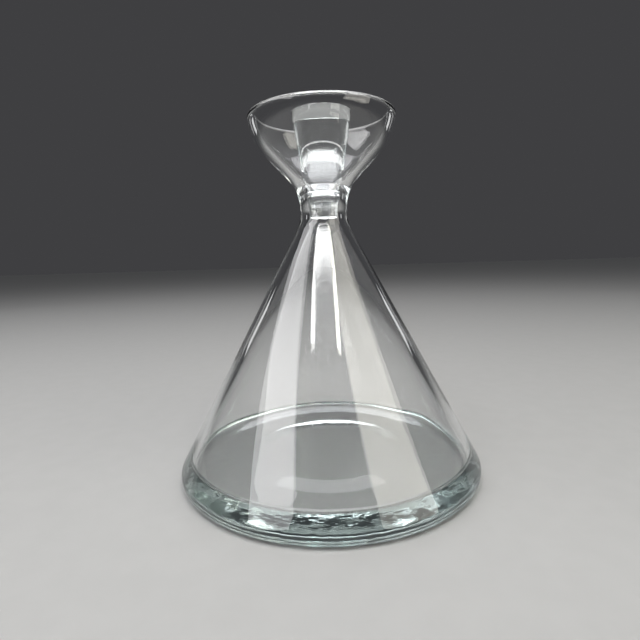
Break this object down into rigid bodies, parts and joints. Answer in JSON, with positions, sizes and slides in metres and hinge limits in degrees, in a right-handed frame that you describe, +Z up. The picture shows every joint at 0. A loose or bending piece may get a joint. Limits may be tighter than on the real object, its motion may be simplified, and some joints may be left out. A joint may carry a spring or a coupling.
{
  "type": "stoppered decanter",
  "caption": "Conical clear glass decanter with a thick flat base, narrow waist and funnel-shaped mouth, closed by a solid tapered glass stopper that lifts out.",
  "frame": {"origin": "centre of the foot, on the surface the decanter stands on", "axes": "+Z up along the axis that both pieces are turned about"},
  "size_m": [0.2078, 0.2078, 0.2432],
  "materials": {
    "body_glass": "clear blown glass with a faint aqua tint, fire-polished rim",
    "stopper_glass": "clear solid glass, polished all over"
  },
  "bodies": {
    "decanter": {"decanter_body": "body_glass"},
    "stopper": {"stopper": "stopper_glass"}
  },
  "joints": [
    {"name": "stopper_lift", "type": "slide", "parent": "decanter", "child": "stopper", "axis": [0, 0, 1], "range_m": [0, 0.075]}
  ]
}
